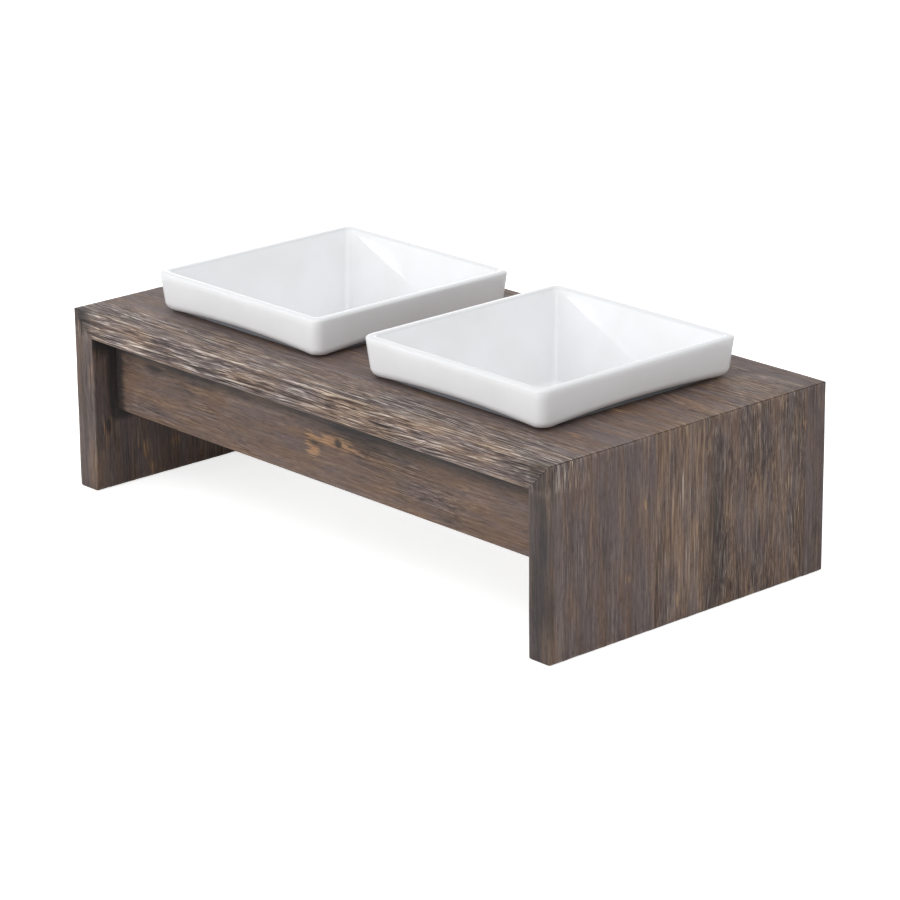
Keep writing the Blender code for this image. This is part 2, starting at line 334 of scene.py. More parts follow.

# %% [markdown]
# ## Boards: brushing and wear
# More attributes are worked out for each point. `ridge` is the height of the brushed surface, from -1 to 1,
# with ridges a couple of millimetres apart that run along the grain. `brushed` is how hard the brush bit:
# deepest along the front of the top, so the ridges are strongest there. The wear is highest on an outer
# corner and fades over a few millimetres, because hands and cloths rub the stain off the corners first, and
# its pale line along the arrises is also a painted highlight of the oil's gloss. The same numbers then sink
# the points of the mesh inwards, never outwards, so a board can't grow past its CAD solid.

# %% Brush and wear a board
RIDGE_SPACING, RIDGE_LENGTH = 2.4 * MM, 60 * MM
RIDGE_WANDER, WANDER_PATCH = 0.8 * MM, Vector((110 * MM, 20 * MM, 20 * MM))
RIDGE_DEPTH, ARRIS_WEAR = 0.18 * MM, 0.5 * MM
RUB_PATCH = Vector((40 * MM, 6 * MM, 6 * MM))
CORNER_FADE = (0.4 * MM, 3.2 * MM)
BRUSHING_FADE, LEAST_BRUSHING = (13.5 * MM, 58.5 * MM), 0.15
INNER = HALF_LENGTH - BOARD
UNDER = WOOD_TOP - BOARD


def bench_corners():
    """The outer corners of the bench, as (x, y, z) with None for the free direction."""
    lines = [(None, y, z) for y in (FRONT, BACK) for z in (WOOD_TOP, UNDER)]
    lines += [(x, None, WOOD_TOP) for x in (-HALF_LENGTH, HALF_LENGTH)]
    for x in (-HALF_LENGTH, -INNER, INNER, HALF_LENGTH):
        lines += [(x, None, 0)] + [(x, y, None) for y in (FRONT, BACK)]
    return lines


CORNERS = bench_corners()


def from_corner(point):
    """The distance from a point to the nearest outer corner."""
    return min(
        math.sqrt(sum((point[i] - line[i]) ** 2 for i in range(3) if line[i] is not None)) for line in CORNERS
    )


def patchy(place, patch):
    """A noise from -1 to 1 whose patches have that size along the grain, across it and in depth."""
    return noise.noise(Vector((place.x / patch.x, place.y / patch.y, place.z / patch.z)))


def ridges(place):
    """The brushed surface's height, -1 to 1: long ridges with shorter, finer ones on them."""
    along = place.x / RIDGE_LENGTH
    across = (place.y + RIDGE_WANDER * patchy(place, WANDER_PATCH)) / RIDGE_SPACING
    deep = place.z / RIDGE_SPACING
    height = noise.noise(Vector((along, across, deep)))
    height += 0.5 * noise.noise(Vector((2.7 * along, 2.1 * across, 2.1 * deep)))
    return 2 * smooth(height, -0.45, 0.45) - 1


def brushing(point):
    """How hard the brush bit here: fully along the top's front, and less elsewhere."""
    near_front = 1 - smooth(point.y - FRONT, *BRUSHING_FADE)
    on_top = smooth(point.z, UNDER - 2 * MM, UNDER + 5 * MM)
    return LEAST_BRUSHING + (1 - LEAST_BRUSHING) * near_front * on_top


print("corners that wear:", len(CORNERS))

# %% [markdown]
# ## Boards: painted shade, stain and marks
# The inside corners, where a rail, a leg and the top meet with each other, get a near-black painted shade,
# as the light reaches them least. It is kept with the stain, grows towards those corners, and lies a little
# on the legs' insides too. Old boards also carry marks that no noise gives by itself: knots, dents, and
# places where the stain was knocked off and the bare wood shows. Each is an ellipsoid at its place on the
# bench, which adds to one of the attributes. The material breaks up its outline with the grain.

# %% Painted shade in the inside corners
RAIL_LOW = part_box("front_rail")[0].z
RAIL_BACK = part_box("front_rail")[1].y
# how the painted shade of the inside corners fades, and how much of it the legs' insides get
PAINTED_SHADE_FADE, LEG_PAINTED_SHADE = (2 * MM, 16 * MM), 0.30
PAINTED_SHADE_DROP = 0.55  # a millimetre down from the top counts for less than one along it


def painted_inside_shade(point):
    """Painted shade: 1 in the inside corners, fading over two centimetres, some on the legs' insides, 0
    outside.
    """
    if abs(point.x) > INNER + 0.5 * MM or point.z > UNDER + 0.5 * MM:
        return 0.0
    to_leg, to_top = INNER - abs(point.x), PAINTED_SHADE_DROP * (UNDER - point.z)
    beside_rail = max(abs(point.y) + RAIL_FACE, -RAIL_BACK - abs(point.y), 0)
    to_rail = math.hypot(beside_rail, max(0, RAIL_LOW - point.z))
    second_nearest = sorted((to_leg, to_top, to_rail))[1]
    on_leg = abs(point.x) > INNER - 1 * MM
    return max(1 - smooth(second_nearest, *PAINTED_SHADE_FADE), LEG_PAINTED_SHADE if on_leg else 0.0)


print("the rails hang down to", round(RAIL_LOW / MM), "mm")

# %% The marks
MARKS = [
    # (attribute, centre in mm, radii in mm, strength)
    ("bare", (-9, -122, 96), (9, 5, 10), 1.0),  # stain gone from round the front rail's two knots
    ("bare", (19, -122, 103), (22, 5, 4.5), 1.0),
    ("stain_and_shade", (-7, -122, 97), (8, 4, 2.4), 1.2),
    ("stain_and_shade", (21, -122, 102.5), (3.4, 4, 3.0), 1.2),
    ("stain_and_shade", (-206, -122, 112), (12, 4, 4), 1.0),
    # painted shade under the top's overhang, along the front rail
    ("stain_and_shade", (40, -122, 118), (60, 4, 10), 0.9),
    ("bare", (-252, -122, 72), (3, 4, 20), 0.6),
    ("bare", (-257, -124, 88), (4, 2.4, 26), 0.8),  # down the left leg's inside, beside the rail
    ("bare", (-257, -133, 52), (4, 6, 12), 0.7),
    ("stain_and_shade", (-257, -132, 54), (4, 2.6, 6), 1.2),
    ("bare", (-257, -95, 24), (4, 3.0, 10), 0.75),
    ("bare", (-257, -89, 8), (4, 2.2, 7), 0.75),
    ("bare", (-257, -102, 36), (4, 2.4, 9), 0.7),
    ("bare", (-257, -63, 26), (4, 5, 6), 0.6),
    ("bare", (-257, -141, 119), (4, 3, 6), 0.6),
    ("bare", (-260, -146, 96), (3, 4, 18), 0.55),  # the left leg's front edge
    ("stain_and_shade", (-270, -146, 150), (11, 7, 14), 0.8),  # the left mitre, where the stain hides the joint
    ("stain_and_shade", (269, -146, 60), (16, 6, 110), 0.95),  # the right leg's front edge
    ("stain_and_shade", (-269, -146, 60), (16, 6, 110), 0.52),  # the left leg's front edge
    ("wear_and_highlight", (280, -8, 76), (6, 24, 95), 0.9),  # the paler, straight-grained side of stave 2 in the right end
    ("stain_and_shade", (280, 24, 62), (4, 8, 70), 0.46),  # and the dark side of stave 3 beside it
    ("bare", (280, -50, 101), (4, 1.8, 5), 0.8),  # dents and flecks in the right end
    ("bare", (280, -67, 47), (4, 3.5, 6), 0.65),
    ("bare", (280, 6, 68), (4, 2.0, 10), 0.65),
    ("bare", (280, -14, 19), (4, 2.0, 7), 0.75),
    ("wear_and_highlight", (280, 76, 74), (4, 8, 12), 0.9),
    ("bare", (280, 122, 124), (4, 5, 5), 0.62),
    ("bare", (225, -21, 153), (17, 6, 4), 0.6),  # warm patches beside the right bowl
    ("bare", (244, -81, 153), (14, 8, 4), 0.5),
    ("wear_and_highlight", (250, 123, 153), (15, 6, 4), 1.2),  # the rubbed place at the far right corner of the top
    # a painted sheen on the top beside it
    ("wear_and_highlight", (246, 97, 153), (22, 14, 4), 0.5),
]


def marked(point, name):
    """What the marks add to an attribute at a point: their strength, or half of it at their outline."""
    most = 0.0
    for attribute, centre, radii, strength in MARKS:
        if attribute == name:
            away = math.sqrt(sum(((point[i] / MM - centre[i]) / radii[i]) ** 2 for i in range(3)))
            most = max(most, strength * (1 - 0.5 * away))
    return most


print("marks:", len(MARKS))

# %% Weather a board
def weather(mesh, locate, character):
    """Stores the attributes on a board's points, and sinks the points by them."""
    names = ("ridge", "brushed", "wear_and_highlight", "stain_and_shade", "bare")
    for name in names:
        mesh.attributes.new(name, "FLOAT", "POINT")
    mesh.attributes.new("grain", "FLOAT_VECTOR", "POINT")
    grain, stored = mesh.attributes["grain"], {name: mesh.attributes[name].data for name in names}
    normals = [vertex.normal.copy() for vertex in mesh.vertices]
    for vertex, normal in zip(mesh.vertices, normals):
        point = vertex.co.copy()
        place = locate(point, character)
        height, brushed, wear_and_highlight_marks = ridges(place), brushing(point), marked(point, "wear_and_highlight")
        # the corner's pale line is worn wood and a painted highlight along the arris
        corner = 1 - smooth(from_corner(point), *CORNER_FADE)
        # the stain value also holds the painted shade of the inside corners
        values = {
            "ridge": height * brushed,
            "brushed": brushed,
            "wear_and_highlight": max(corner * (0.75 + 0.25 * brushed), wear_and_highlight_marks),
            "stain_and_shade": max(painted_inside_shade(point) - wear_and_highlight_marks, marked(point, "stain_and_shade")),
            "bare": marked(point, "bare"),
        }
        grain.data[vertex.index].vector = place
        for name in names:
            stored[name][vertex.index].value = values[name]
        sink = RIDGE_DEPTH * brushed * (0.5 - 0.5 * height)
        sink += ARRIS_WEAR * corner * (0.5 + 0.5 * patchy(place, RUB_PATCH))
        vertex.co = point - normal * sink


print("the ridges and the wear sink at most", round((RIDGE_DEPTH + ARRIS_WEAR) / MM, 2), "mm")

# %% [markdown]
# ## Boards: the openings
# A jigsaw cut the two square openings after the top was glued up, so the cuts run through several staves.
# The cutter is a block with rounded uprights. A Boolean modifier subtracts it and is then applied, which
# leaves a plain mesh that can be weathered like the rest.

# %% The openings' cutter
OPENING_INSET, OPENING_CORNER = 14 * MM, 12 * MM


def opening_cutter():
    """One mesh that holds the blocks of both openings."""
    bm = bmesh.new()
    for bowl in ("bowl_left", "bowl_right"):
        low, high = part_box(bowl)
        low = Vector((low.x + OPENING_INSET, low.y + OPENING_INSET, WOOD_TOP - 2 * BOARD))
        high = Vector((high.x - OPENING_INSET, high.y - OPENING_INSET, WOOD_TOP + BOARD))
        uprights = {
            edge for vertex in add_block(bm, low, high) for edge in vertex.link_edges
            if abs(edge.verts[0].co.z - edge.verts[1].co.z) > BOARD
        }
        bmesh.ops.bevel(
            bm, geom=list(uprights), offset=OPENING_CORNER, segments=8, profile=0.5,
            affect="EDGES", material=-1,
        )
    return add_object("opening_cutter", mesh_from(bm, "opening_cutter"))


def cut_openings(mesh, cutter):
    """The mesh with the cutter taken out of it."""
    board = add_object("board_to_cut", mesh)
    boolean = board.modifiers.new("openings", "BOOLEAN")
    boolean.operation, boolean.solver, boolean.object = "DIFFERENCE", "EXACT", cutter
    result = bpy.data.meshes.new_from_object(board.evaluated_get(bpy.context.evaluated_depsgraph_get()))
    bpy.data.objects.remove(board)
    return result


cutter = opening_cutter()
print("cutter:", len(cutter.data.polygons), "faces")

# %% [markdown]
# ## Oiled, wire-brushed hardwood
# The bench is an open-pored hardwood, stained dark grey-brown, wire-brushed and finished with a thin satin
# oil. Seen close, five things make it up: growth rings a few millimetres apart, streaks and fibres drawn
# out along the grain, short dark pores where the stain gathers, thin pale lines where the grain stands up
# and the brush took the stain off it, and thin dark ones where the wood between was dug out.
#
# All but the rings are noise textures on the log's coordinates, stretched along the grain by dividing the
# distances by a patch's length and width in metres, and moved by a seed, so that no two lie on each other.
# Such a noise keeps close to its middle value, so its middle third is spread over -1 to 1. Real fibres are
# finer than these, which are as coarse as shows at the camera's distance.

# %% One pattern of the grain
PATTERNS = {
    # name: (length of a patch, its width, seed)
    "fibre": (32 * MM, 1.1 * MM, 7.3),
    "streak": (90 * MM, 4 * MM, 0.0),
    "band": (220 * MM, 18 * MM, 3.1),
    "crest": (50 * MM, 1.25 * MM, 5.7),
    "crease": (50 * MM, 1.25 * MM, 33.1),
    "pore": (9 * MM, 1.4 * MM, 11.9),
    "cloud": (90 * MM, 28 * MM, 17.7),
    "tint": (60 * MM, 10 * MM, 21.7),
}
SPREAD = 0.16


def grain_pattern(tree, place, length, width, seed):
    """A noise from -1 to 1, in patches of that length along the grain and width across it."""
    counted = add_node(
        tree, "VectorMath", place, (1 / length, 1 / width, 1 / width), (seed, seed, seed),
        operation="MULTIPLY_ADD",
    )
    patches = add_node(tree, "TexNoise", counted, Scale=1.0, Detail=2.0, Roughness=0.55)
    return add_node(tree, "MapRange", patches, 0.5 - SPREAD, 0.5 + SPREAD, -1.0, 1.0)


print("patterns:", ", ".join(PATTERNS))

# %% [markdown]
# ## The wood: rings and thin lines
# No line in wood runs dead straight, so a slow noise first pushes the place in the log sideways. The rings
# are then circles round the pith: they follow the distance from it, and the power keeps only the dense late
# wood at the end of each year. A thin line is where a pattern passes through zero, which is much narrower
# than its patches.


# %% Bend the grain, and find rings and lines
BEND_LENGTH, BEND_WIDTH = 90 * MM, 20 * MM
RING_WIDTH, LATE_POWER = 3.5 * MM, 4.0
LINE_CORE, LINE_EDGE = 0.1, 0.7


def bent_place(tree, wander):
    """The place in the log, pushed sideways by up to about the wander in millimetres."""
    grain = add_node(tree, "Attribute", attribute_name="grain").outputs["Vector"]
    slow = add_node(
        tree, "VectorMath", grain, (1 / BEND_LENGTH, 1 / BEND_WIDTH, 1 / BEND_WIDTH), operation="MULTIPLY"
    )
    shift = add_node(tree, "TexNoise", slow, Scale=1.0, Detail=3.0, Roughness=0.5).outputs["Color"]
    reach = 2 * wander * MM
    return add_node(tree, "VectorMath", shift, (0, reach, reach), grain, operation="MULTIPLY_ADD")


def late_wood(tree, place):
    """0 to 1: how near a point is to the end of its growth ring."""
    level = add_node(tree, "VectorMath", place, (0, 1 / RING_WIDTH, 1 / RING_WIDTH), operation="MULTIPLY")
    ring = add_node(tree, "Math", add_node(tree, "VectorMath", level, operation="LENGTH"), operation="FRACT")
    return add_node(tree, "Math", ring, LATE_POWER, operation="POWER")


def thin_line(tree, pattern):
    """1 along the zero line of a pattern, 0 away from it."""
    distance = add_node(tree, "Math", pattern, operation="ABSOLUTE")
    return add_node(tree, "MapRange", distance, LINE_CORE, LINE_EDGE, 1.0, 0.0)


print(f"rings {RING_WIDTH / MM:.1f} mm wide")

# %% [markdown]
# ## The wood: what the stain lets through
# The stain hides the figure in large clouds, and the brush opens it up again. So each strong pattern also
# comes a second time, multiplied by how much of it shows.

# %% Gather the patterns
PORE_CORE, PORE_EDGE = 0.7, 0.3
CLOUDINESS, HIDDEN, BRUSH_OPENS, LEAST_SHOWN = 0.4, 0.3, 1.3, 0.1
STRONG = ("fibre", "crest", "crease", "late")


def wood_patterns(tree, place, brushed, figure):
    """Every pattern of the wood by its name."""
    patterns = {name: grain_pattern(tree, place, *size) for name, size in PATTERNS.items()}
    patterns["late"] = late_wood(tree, place)
    patterns["pore"] = add_node(tree, "MapRange", patterns["pore"], PORE_EDGE, PORE_CORE, 0.0, 1.0)
    for name in ("crest", "crease"):
        patterns[name] = thin_line(tree, patterns[name])
    low, high = figure - CLOUDINESS, figure + CLOUDINESS
    patterns["cloud"] = add_node(tree, "MapRange", patterns["cloud"], -1.0, 1.0, low, high)
    clear = add_node(tree, "Math", patterns["cloud"], HIDDEN, operation="SUBTRACT")
    shown = add_node(tree, "Math", brushed, BRUSH_OPENS, clear, operation="MULTIPLY_ADD")
    shown = add_node(tree, "Math", shown, LEAST_SHOWN, operation="MAXIMUM")
    for name in STRONG:
        patterns[name + " shown"] = add_node(tree, "Math", patterns[name], shown, operation="MULTIPLY")
    return patterns


print("patterns that the stain can hide:", len(STRONG))

# %% [markdown]
# ## The wood: colour
# All the patterns add up to one number, how pale the wood is. Two colour ramps turn that into a cool
# grey-brown and a warm brown, which mingle in long patches. Where the stain was knocked off, bare wood
# shows, and where the stain is thickest and in the painted shade of the inside corners, near-black
# covers the rest. The grain frays the outline of both.

# %% Colour the wood
COOL = [(0, "#191616"), (0.25, "#433A39"), (0.5, "#665957"), (0.75, "#948681"), (1, "#E0D7D0")]
WARM = [(0, "#1E1713"), (0.25, "#4B3C33"), (0.5, "#725B4C"), (0.75, "#A38971"), (1, "#E3CEB6")]
BARE = [(0.2, "#795942"), (0.5, "#A68160"), (0.8, "#C8A888")]
# near-black for thick stain, and for the painted shade in the inside corners
STAIN_AND_SHADE_COLOUR = "#2A2829"
WARM_MIDDLE, WARM_SWING, WARM_STEP = 0.45, 0.45, 0.4
BARE_FRAY, BARE_OUTLINE = {"fibre": 0.28}, (0.48, 0.62)
STAIN_AND_SHADE_FRAY, STAIN_AND_SHADE_OUTLINE, STAIN_AND_SHADE_COVER = {"cloud": 0.3, "streak": 0.15}, (0.25, 0.85), 0.88
# the wear and its streak also paint a pale highlight along the arrises and a sheen on the top
PALENESS = {
    # what a pattern or an attribute adds to the paleness
    "fibre": 0.045, "fibre shown": 0.12, "streak": 0.03, "band": 0.04, "ridge": 0.02, "brushed": 0.10,
    "crest shown": 0.23, "crease shown": -0.24, "wear_and_highlight": 0.10, "streak of wear and highlight": 0.08, "late": -0.04,
    "late shown": -0.14, "pore": -0.08,
}


def weighted_sum(tree, start, patterns, weights):
    """Adds the named patterns to a start value, each times its weight."""
    for name, weight in weights.items():
        start = add_node(tree, "Math", patterns[name], weight, start, operation="MULTIPLY_ADD")
    return start


def wood_colour(tree, patterns, paleness, warmth):
    """Cool or warm brown, then bare wood where it is marked, then near-black for thick stain and painted
    shade.
    """
    warm = add_node(
        tree, "Math", patterns["tint"], WARM_SWING, WARM_MIDDLE + WARM_STEP * warmth,
        operation="MULTIPLY_ADD", use_clamp=True,
    )
    cool_colour = add_node(tree, "ValToRGB", paleness, stops=COOL)
    warm_colour = add_node(tree, "ValToRGB", paleness, stops=WARM)
    colour = add_node(tree, "Mix", warm, cool_colour, warm_colour, data_type="RGBA")

    frayed = weighted_sum(tree, patterns["bare"], patterns, BARE_FRAY)
    knocked_off = add_node(tree, "MapRange", frayed, *BARE_OUTLINE, 0.0, 1.0)
    bare_colour = add_node(tree, "ValToRGB", paleness, stops=BARE)
    colour = add_node(tree, "Mix", knocked_off, colour, bare_colour, data_type="RGBA")

    # the stain attribute carries the painted shade of the inside corners as well
    frayed = weighted_sum(tree, patterns["stain_and_shade"], patterns, STAIN_AND_SHADE_FRAY)
    stain_and_shade_amount = add_node(tree, "MapRange", frayed, *STAIN_AND_SHADE_OUTLINE, 0.0, STAIN_AND_SHADE_COVER)
    return add_node(tree, "Mix", stain_and_shade_amount, colour, linear(STAIN_AND_SHADE_COLOUR), data_type="RGBA")


print("paleness adds up", len(PALENESS), "things")

# %% [markdown]
# ## The wood: gloss and relief
# Paler wood has been polished by the brush and shines a little more. The thin lines, the fibres, the rings
# and the pores also stand up or lie low by a few tenths of a millimetre, which a bump shows. The oil's gloss
# is the shader's own. Each stave and rail gets a material of its own, because their tone, warmth and figure
# differ.

# %% Put the wood together
RELIEF = {
    # how far a pattern stands up, as a share of the relief's height
    "fibre": 0.15, "fibre shown": 0.3, "crest shown": 0.5, "crease shown": -0.5, "late shown": -0.4,
    "pore": -0.3,
}
RELIEF_HEIGHT = 0.35 * MM
MIDDLE_TONE, TONE_STEP = 0.50, 0.08
DULL, POLISHED, OIL_INDEX = 0.70, 0.50, 1.42


def stained_hardwood(name, wander, tone, warmth, figure):
    """The finished wood of one stave or rail."""
    material, tree, shader = new_material(name)
    stored = {
        key: add_node(tree, "Attribute", attribute_name=key).outputs["Fac"]
        for key in ("ridge", "brushed", "wear_and_highlight", "stain_and_shade", "bare")
    }
    place = bent_place(tree, wander)
    patterns = stored | wood_patterns(tree, place, stored["brushed"], figure)
    patterns["streak of wear and highlight"] = add_node(tree, "Math", patterns["streak"], stored["wear_and_highlight"], operation="MULTIPLY")

    paleness = weighted_sum(tree, MIDDLE_TONE + TONE_STEP * tone, patterns, PALENESS)
    colour = wood_colour(tree, patterns, paleness, warmth)
    dull = add_node(tree, "MapRange", paleness, 0.2, 0.8, DULL, POLISHED)
    height = weighted_sum(tree, 0.5, patterns, RELIEF)
    bump = add_node(tree, "Bump", Height=height, Strength=1.0, Distance=RELIEF_HEIGHT)
    fill(tree, shader, Base_Color=colour, Roughness=dull, Normal=bump, IOR=OIL_INDEX)
    return material


wood = {
    board: stained_hardwood(f"brushed_hardwood_{board}", *character[3:])
    for board, character in (STAVES | RAILS).items()
}
print("wood materials:", sorted(material.name for material in wood.values()))

# %% [markdown]
# ## Staves and rails
# With the steps in place, each piece is one call. A piece is made where its CAD node is, stands for that
# node, and moves with the bench.

# %% Finish a board
SMOOTH_ANGLE = math.radians(40)


def board_piece(node, bm, material, locate, character, cutter=None):
    """Turns a gridded board into a finished piece that stands for its node."""
    name = f"brushed_{node}"
    mesh = mesh_from(bm, name)
    if cutter:
        mesh = cut_openings(mesh, cutter)
        mesh.name = name
    weather(mesh, locate, character)
    mesh.shade_smooth()
    mesh.set_sharp_from_angle(angle=SMOOTH_ANGLE)
    mesh.materials.clear()
    mesh.materials.append(material)
    piece = add_object(name, mesh)
    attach(piece, "bench")
    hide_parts(node)
    return piece


print("sharp edges from", round(math.degrees(SMOOTH_ANGLE)), "degrees")


# %% Make every board of the bench
def stave_span(number):
    """The front and back Y of a stave, drawn out until only a glue line parts it from the next."""
    low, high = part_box(f"left_leg_stave_{number}")
    slack = 0.5 * ((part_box("left_leg_stave_2")[0].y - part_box("left_leg_stave_1")[1].y) - GLUE_LINE)
    front = low.y if number == 1 else low.y - slack
    rear = high.y if number == len(STAVES) else high.y + slack
    return front, rear


def outer_edges(number):
    """Which of a stave's long faces, front (-1) or back (1), is the bench's own."""
    return [side for side, last in ((-1, 1), (1, len(STAVES))) if number == last]


def top_piece(node, number):
    """A stave of the top. Its ends are mitred where they reach the ends of the bench."""
    low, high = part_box(node)
    front, rear = stave_span(number)
    mitred = [side for side, end in ((-1, low.x), (1, high.x)) if abs(end) > INNER]
    start = -HALF_LENGTH if -1 in mitred else low.x
    end = HALF_LENGTH if 1 in mitred else high.x
    eased = [(0, side, level) for side in outer_edges(number) for level in (-1, 1)]
    eased += [(side, 0, 1) for side in mitred]
    bm = plain_board((start, front, UNDER), (end, rear, WOOD_TOP), eased)
    for side in mitred:
        saw_mitre(bm, side, keep_leg=False)
    grid_board(bm, 0, (end - start, rear - front, BOARD), FINE_TOP if number == 1 else PLAIN_TOP)
    crossed = number in (2, 4)
    return board_piece(node, bm, wood[number], in_top, STAVES[number], cutter if crossed else None)


def leg_piece(node, number, side):
    """A stave of a leg, sawn from the same board as the top stave above it."""
    front, rear = stave_span(number)
    inner, outer = side * INNER, side * HALF_LENGTH
    eased = [(side, 0, 1), (side, 0, -1), (-side, 0, -1)]
    for edge in outer_edges(number):
        eased += [(side, edge, 0), (-side, edge, 0), (0, edge, -1)]
    bm = plain_board((min(inner, outer), front, 0), (max(inner, outer), rear, WOOD_TOP), eased)
    saw_mitre(bm, side, keep_leg=True)
    grid_board(bm, 2, (BOARD, rear - front, WOOD_TOP), FINE_LEG if number == 1 else PLAIN_LEG)
    return board_piece(node, bm, wood[number], in_leg, STAVES[number])


def rail_piece(node):
    """A board on edge under the top."""
    low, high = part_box(node)
    bm = plain_board(low, high, [(0, -1, -1), (0, 1, -1)])
    grid_board(bm, 0, high - low, PLAIN_RAIL)
    return board_piece(node, bm, wood[node], in_rail, RAILS[node])


boards = []
for node in sorted(nodes):
    if "dowel" in node or "bowl" in node:
        continue
    if node in RAILS:
        boards.append(rail_piece(node))
    elif node.startswith("top_stave"):
        boards.append(top_piece(node, int(node.split("_")[2])))
    else:
        boards.append(leg_piece(node, int(node[-1]), -1 if node.startswith("left") else 1))
bpy.data.objects.remove(cutter)
print("boards:", len(boards), "triangles:", sum(2 * len(board.data.polygons) for board in boards))

# %% [markdown]
# ## The bowls
# Each bowl is slip-cast porcelain: one skin that comes up from the floor of the bowl, rolls over the rim,
# goes down the outside and turns under, and then drops through the opening to a foot ring. Such a form is a
# loft, a row of rounded rectangles joined up like the frames of a boat. A grid of one face, with its four
# corners bevelled and its sides subdivided, makes one frame, and `bridge_loops` planks each pair of frames.
#
# Every frame is drawn in from the outside of the rim by an inset, so one list of (inset, corner, height) is
# the whole profile. The numbers are the CAD solid's, with finer arcs.

# %% The profile of a bowl
RIM_WIDTH, RIM_ROUND = 7.8 * MM, 2.4 * MM
RIM_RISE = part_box("bowl_left")[1].z - WOOD_TOP
INSIDE_DEPTH, INSIDE_CORNER = 69 * MM, 5.5 * MM
FLOOR_INSET, FLOOR_FILLET = 34 * MM, 7 * MM
OUTER_CORNER = 9 * MM
SKIRT_DRAFT, SKIRT_ROUND, SKIRT_LIFT, SKIRT_ARCH = 2.2 * MM, 8 * MM, 0.6 * MM, 3.2 * MM
SEAT_INSET, SEAT_CORNER, SEAT_GAP = 10.5 * MM, 14 * MM, 0.3 * MM
WELL_INSET, WELL_DRAFT, WELL_ROUND, WELL_CORNER = 15.5 * MM, 12.5 * MM, 6 * MM, 12 * MM
FLOOR_THICKNESS = 6 * MM
FOOT_INSET, FOOT_WIDTH, FOOT_HEIGHT, FOOT_TAPER = 37 * MM, 6 * MM, 2 * MM, 0.7 * MM


def arc(centre, radius, start, end, steps):
    """(inset, height) pairs along an arc, from one angle in degrees to another. Angle 0 points outwards."""
    angles = [math.radians(start + (end - start) * step / steps) for step in range(steps + 1)]
    return [(centre[0] - radius * math.cos(a), centre[1] + radius * math.sin(a)) for a in angles]


def straight(first, last, steps):
    """The points between two (inset, height) pairs, without the pairs themselves."""
    return [tuple(a + (b - a) * step / steps for a, b in zip(first, last)) for step in range(1, steps)]


def inside_frames():
    """From the floor up the sloping wall to the inner edge of the rim."""
    floor = RIM_RISE - INSIDE_DEPTH
    lean = math.degrees(math.atan2(FLOOR_INSET - RIM_WIDTH, INSIDE_DEPTH))
    tangent = FLOOR_FILLET * math.tan(math.radians(90 - lean) / 2)
    fillet = arc((FLOOR_INSET + tangent, floor + FLOOR_FILLET), FLOOR_FILLET, -90, -lean, 8)
    rim = arc((RIM_WIDTH - RIM_ROUND, RIM_RISE - RIM_ROUND), RIM_ROUND, 180 - lean, 90, 6)
    return fillet + straight(fillet[-1], rim[0], 14) + rim


def outside_frames():
    """Over the outer edge of the rim, down the skirt and round its lower edge."""
    rim = arc((RIM_ROUND, RIM_RISE - RIM_ROUND), RIM_ROUND, 90, 0, 6)
    edge = arc((SKIRT_DRAFT + SKIRT_ROUND, SKIRT_LIFT + SKIRT_ROUND), SKIRT_ROUND, 0, -90, 10)
    return rim, straight(rim[-1], edge[0], 5), edge


def well_frames():
    """From the seat down through the opening, and over the foot ring."""
    base = RIM_RISE - INSIDE_DEPTH - FLOOR_THICKNESS
    edge = arc((WELL_INSET + WELL_DRAFT + WELL_ROUND, base + WELL_ROUND), WELL_ROUND, 0, -90, 6)
    lowest, end = base - FOOT_HEIGHT, FOOT_INSET + FOOT_WIDTH
    ring = [(FOOT_INSET, base), (FOOT_INSET + FOOT_TAPER, lowest), (end - FOOT_TAPER, lowest), (end, base)]
    return [(WELL_INSET, SEAT_GAP)] + edge + ring


print("frames up the inside:", len(inside_frames()), "rim rises", round(1000 * RIM_RISE, 1), "mm")

# %% [markdown]
# ## The bowls: bending the frames
# The lower edge of the skirt isn't straight. In the kiln the middle of each side lifts a little, so the
# bowl touches the wood at its corners and a dark strip shows under each side. The walls are also never dead
# flat: they bow in by a fraction of a millimetre and the glaze lies in slow ripples, which is why a lamp's
# reflection in the bowl is wavy. Both are small moves of the points after the loft, and none goes past the
# bowl's outside. An attribute called `seat` marks the narrow step under the skirt, for its painted shade.

# %% Draw a frame
SIDE_PARTS, CORNER_PARTS = 26, 8


def bowl_frames():
    """Every frame of a bowl as (inset, corner, height, arch), from its floor out to its foot ring."""
    rim, wall, edge = outside_frames()
    frames = [(inset, INSIDE_CORNER, height, 0.0) for inset, height in inside_frames()]
    frames += [(inset, OUTER_CORNER, height, 0.0) for inset, height in rim]
    for step, (inset, height) in enumerate(wall, start=1):
        frames.append((inset, OUTER_CORNER, height, SKIRT_ARCH * step / (len(wall) + 1)))
    frames += [(inset, OUTER_CORNER, height, SKIRT_ARCH) for inset, height in edge]
    frames += [(SEAT_INSET, SEAT_CORNER, SKIRT_LIFT, SKIRT_ARCH), (SEAT_INSET, SEAT_CORNER, SEAT_GAP, 0.0)]
    return frames + [(inset, WELL_CORNER, height, 0.0) for inset, height in well_frames()]


def arch_share(point, half, corner):
    """0 at a frame's corners and 1 half way along its sides."""
    past = Vector((abs(point.x) - half.x + corner, abs(point.y) - half.y + corner))
    if past.x > 0 and past.y > 0:
        return 0.0
    along = abs(point.y) / (half.y - corner) if past.x > past.y else abs(point.x) / (half.x - corner)
    return 1 - along * along


